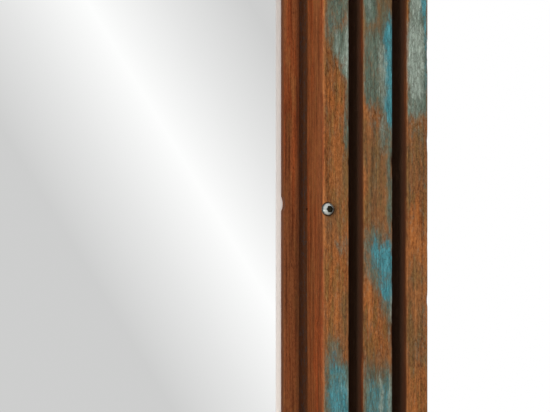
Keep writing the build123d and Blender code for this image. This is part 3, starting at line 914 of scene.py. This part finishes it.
def softened_copy(name, width, segments=2):
    """A merged copy of a CAD node whose sharp edges are bevelled."""
    flat, sharp_angle, merge = math.radians(1), math.radians(50), 0.002 * MM
    shape = bmesh.new()
    shape.from_mesh(NODES[name].data)
    bmesh.ops.remove_doubles(shape, verts=shape.verts, dist=merge)
    bmesh.ops.dissolve_limit(
        shape, angle_limit=flat, use_dissolve_boundaries=False, verts=shape.verts, edges=shape.edges
    )
    sharp = [e for e in shape.edges if len(e.link_faces) == 2 and e.calc_face_angle(0) > sharp_angle]
    bmesh.ops.bevel(
        shape, geom=sharp, offset=width, offset_type="OFFSET", segments=segments, profile=0.5,
        affect="EDGES", clamp_overlap=True, material=-1,
    )
    return shape


def mark_screw_shade(mesh):
    """Writes each point's painted shade on a front screw: in its socket, at its rim and on its lee side.
    """
    crown = min(v.co.y for v in mesh.vertices)
    head = [v.co.x for v in mesh.vertices if v.co.y < SLAT_FRONT]
    middle = (min(head) + max(head)) / 2
    socket_reach, socket_floor = 2.7 * MM, 2.6 * MM
    screw_shade = []
    for v in mesh.vertices:
        below = v.co.y - crown
        away = math.hypot(v.co.x - middle, v.co.z - CENTRE.z)
        if away < socket_reach and below < socket_floor:
            start, rise, most = 0.1 * MM, 0.4 * MM, 1.0
        else:
            start, rise, most = 1.0 * MM, 1.2 * MM, 0.85
        lee = (v.co.x - middle - v.co.z + CENTRE.z) / (7 * MM)
        screw_shade.append(max(most * share_of((below - start) / rise), min(0.8, 1.4 * lee - 0.15)))
    mesh.attributes.new("socket", "FLOAT", "POINT").data.foreach_set("value", screw_shade)


def dress(name, material):
    """Gives a CAD node its material."""
    mesh = NODES[name].data
    mesh.materials.clear()
    mesh.materials.append(material)


class Step:
    """What every operator does: builds its part of the scene."""

    def execute(self, context):
        self.build(context.scene)
        return {"FINISHED"}


class MIRROR_OT_effects(Step, bpy.types.Operator):
    """Builds the node groups that the materials share"""

    bl_idname = "mirror.effects"
    bl_label = "Shared effects"

    def build(self, scene):
        group_wood_fibre()
        group_worn_paint()
        group_uneven_mask()
        group_steel_wear()
        group_settled_dust()


class MIRROR_OT_slats(Step, bpy.types.Operator):
    """Shapes the twelve weathered slats and their old paint"""

    bl_idname = "mirror.slats"
    bl_label = "Weathered slats"

    def build(self, scene):
        wood = scene.mirror_wood
        for side in TURNS:
            for ring in RINGS:
                weathered_slat(side, ring, wood)


class MIRROR_OT_beads(Step, bpy.types.Operator):
    """Finishes the sight beads around the glass"""

    bl_idname = "mirror.beads"
    bl_label = "Sight beads"

    def build(self, scene):
        for side in TURNS:
            dress(f"sight_bead_{side}", bead_material(side, scene.mirror_wood))


class MIRROR_OT_boards(Step, bpy.types.Operator):
    """Finishes the back boards and the biscuits in their mitres"""

    bl_idname = "mirror.boards"
    bl_label = "Back boards"

    def build(self, scene):
        for side in TURNS:
            name = ("back_stile_" if side in ("left", "right") else "back_rail_") + side
            dress(name, board_material(side, scene.mirror_wood))
        beech = plain_stock("beech", srgb(208, 170, 128), 300, 0.2, 0.6, 0.05 * MM)
        dress("corner_biscuits", beech)


class MIRROR_OT_glazing(Step, bpy.types.Operator):
    """Finishes the glass and everything that packs it"""

    bl_idname = "mirror.glazing"
    bl_label = "Glass and backing"

    def build(self, scene):
        dress("mirror_pane", mirror_material(scene.mirror_fittings))
        dress("glazing_tape", tape_material())
        dress("foam_sheet", plain_stock("foam", srgb(225, 225, 220), 900, 0.08, 0.8, 0.1 * MM))
        board = plain_stock("hardboard", srgb(128, 92, 60), 130, 0.22, 0.72, 0.05 * MM, seed=4.0)
        dress("backing_board", board)


class MIRROR_OT_front_screws(Step, bpy.types.Operator):
    """Makes the two button-head screws on the front"""

    bl_idname = "mirror.front_screws"
    bl_label = "Front screws"

    def build(self, scene):
        bright = tuple(scene.mirror_fittings.bright)
        steel = steel_material("bright_steel", bright, 0.17, 9.0, blotches=0.2, socket_shade=True)
        for side in ("left", "right"):
            name = f"front_screw_{side}"
            shape = softened_copy(name, 0.12 * MM)
            piece = finished_piece(f"button_head_{side}", shape, steel, [name])
            mark_screw_shade(piece.data)
            smooth(piece, 45)
        dress("bead_pins", steel)


class MIRROR_OT_hardware(Step, bpy.types.Operator):
    """Makes the zinc-plated plates, buttons and screws on the back"""

    bl_idname = "mirror.hardware"
    bl_label = "Back hardware"

    def build(self, scene):
        fittings = scene.mirror_fittings
        zinc = steel_material("zinc_steel", tuple(fittings.zinc), 0.34, 1.0)
        bodies = frame["record"]["behaviour"]["bodies"]
        stamped = [n for n in NODES if "screws" not in n]
        plates = [n for n in stamped if n.startswith(("corner_plate_", "hanger_plate_"))]
        buttons = [n for n in stamped if n.startswith("turn_button_")]
        for name in plates + buttons:
            shape = softened_copy(name, fittings.edge)
            piece = finished_piece(f"stamped_{name}", shape, zinc, [name])
            if name in buttons:
                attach(piece, next(body for body, members in bodies.items() if name in members))
            smooth(piece, 35)
        for name in NODES:
            if "_screws" in name:
                dress(name, zinc)


class MIRROR_OT_rubber(Step, bpy.types.Operator):
    """Makes the wall bumpers and finishes the pads under the glass"""

    bl_idname = "mirror.rubber"
    bl_label = "Rubber"

    def build(self, scene):
        rubber = plain_stock("rubber", srgb(38, 37, 36), 500, 0.3, 0.66, 0.04 * MM)
        shape = softened_copy("wall_bumpers", 0.6 * MM, segments=4)
        piece = finished_piece("rubber_bumpers", shape, rubber, ["wall_bumpers"])
        smooth(piece, 50)
        dress("setting_pads", rubber)


def aim(thing, place, target):
    """Puts a camera or light at a place, looking at a target."""
    thing.location = place
    thing.rotation_euler = (Vector(target) - Vector(place)).to_track_quat("-Z", "Y").to_euler()


def studio_camera(studio):
    """The camera at the photograph's angle, level at mid height."""
    camera = linked("camera", bpy.data.cameras.new("camera"))
    bpy.context.scene.camera = camera
    camera.data.lens = studio.focal_length
    target = Vector((SIGHT_EDGE - studio.aim_inwards, LIP_FRONT, CENTRE.z + studio.aim_rise))
    back = Vector((-math.sin(studio.yaw), -math.cos(studio.yaw), 0))
    aim(camera, target + back * studio.distance, target)
    camera.data.clip_start = 0.05
    camera.data.clip_end = 60.0


def soft_light(name, azimuth, elevation, distance, size, power):
    """A square soft light that looks at the mirror's right side, seen by matt surfaces only."""
    light = bpy.data.lights.new(name, "AREA")
    light.size = size
    light.energy = power
    lamp = linked(name, light)
    a, e = math.radians(azimuth), math.radians(elevation)
    target = Vector((0, LIP_FRONT, CENTRE.z))
    way = Vector((math.sin(a) * math.cos(e), -math.cos(a) * math.cos(e), math.sin(e)))
    aim(lamp, target + way * distance, target)
    lamp.visible_glossy = False


def studio_world(studio):
    """White to the camera, even light on matt surfaces, and slanting soft bands of light in the glass."""
    world = bpy.data.worlds.new("studio")
    bpy.context.scene.world = world
    world.use_nodes = True
    net = NodeNet(world.node_tree)
    way = net.split(net.node("TexCoord").outputs["Generated"])
    azimuth = net.math("ARCTAN2", way[0], net.times(way[1], -1.0))
    elevation = net.math("ARCSINE", way[2])
    slant = 0.607
    peak = studio.yaw - 0.0221
    half_band = 0.0477
    spacing = 0.26
    along = net.math("ADD", net.math("SUBTRACT", azimuth, peak), net.times(elevation, slant))
    along = net.times(along, 1 / math.hypot(1, slant))
    off_peak = net.math("PINGPONG", net.math("ABSOLUTE", along), spacing / 2)
    share = net.span(off_peak, 0.0, half_band, 1.0, 0.0, kind="LINEAR")
    shades = [(place, srgb(level, level, level)) for place, level in ((0.0, 207), (0.5, 231), (1.0, 255))]
    band = net.ramp(share, *shades)
    shade = net.times(net.span(azimuth, 0.75, 1.1), net.span(azimuth, 2.6, 1.9))
    band = net.over(shade, 0.85, band, screen(50, 46, 42))
    ray = net.node("LightPath").outputs
    ambient = opaque((studio.ambient,) * 3)
    colour = net.mix(ray["Is Glossy Ray"], ambient, band)
    colour = net.mix(ray["Is Camera Ray"], colour, (1.0, 1.0, 1.0, 1.0))
    net.feed(world.node_tree.nodes["Background"].inputs["Color"], colour)


def studio_floor(studio):
    """A plain pale floor under the frame's lower edge."""
    shape = bmesh.new()
    bmesh.ops.create_circle(shape, cap_ends=True, segments=128, radius=3.3)
    bmesh.ops.translate(shape, vec=(0, 0, CAD_BOX[0].z), verts=shape.verts)
    material = plain_stock("floor", tuple(studio.floor), 3, 0.03, 0.6, 0.1 * MM)
    floor = linked_shape("floor", shape, material)


class MIRROR_OT_studio(Step, bpy.types.Operator):
    """Sets up the camera, the lights and the floor"""

    bl_idname = "mirror.studio"
    bl_label = "Studio"

    def build(self, scene):
        studio = scene.mirror_studio
        scene.view_settings.view_transform = "Standard"
        studio_camera(studio)
        studio_world(studio)
        studio_floor(studio)
        soft_light("key", -58, 14, 2.2, 1.1, studio.key)
        soft_light("fill", 10, 25, 2.6, 1.6, studio.fill)
        soft_light("back_fill", 160, 30, 2.6, 1.4, studio.key * 0.6)


class MIRROR_PT_panel(bpy.types.Panel):
    """Lists the mirror's settings and its pieces"""

    bl_idname = "MIRROR_PT_panel"
    bl_label = "Slatted Wall Mirror"
    bl_space_type = "VIEW_3D"
    bl_region_type = "UI"
    bl_category = "Mirror"

    def draw(self, context):
        for group in SETTINGS:
            settings = getattr(context.scene, group)
            box = self.layout.box()
            for name in settings.__annotations__:
                box.prop(settings, name)
        for operator in OPERATORS:
            self.layout.operator(operator.bl_idname)


SETTINGS = {"mirror_wood": MirrorWood, "mirror_fittings": MirrorFittings, "mirror_studio": MirrorStudio}
OPERATORS = (
    MIRROR_OT_effects,
    MIRROR_OT_studio,
    MIRROR_OT_slats,
    MIRROR_OT_beads,
    MIRROR_OT_boards,
    MIRROR_OT_glazing,
    MIRROR_OT_front_screws,
    MIRROR_OT_hardware,
    MIRROR_OT_rubber,
)


def register():
    for kind in (*SETTINGS.values(), *OPERATORS, MIRROR_PT_panel):
        bpy.utils.register_class(kind)
    for name, kind in SETTINGS.items():
        setattr(bpy.types.Scene, name, PointerProperty(type=kind))


def unregister():
    for name in SETTINGS:
        delattr(bpy.types.Scene, name)
    for kind in (MIRROR_PT_panel, *reversed(OPERATORS), *SETTINGS.values()):
        bpy.utils.unregister_class(kind)


def main():
    register()
    for operator in OPERATORS:
        group, name = operator.bl_idname.split(".")
        getattr(getattr(bpy.ops, group), name)()


if __name__ == "__main__":
    main()
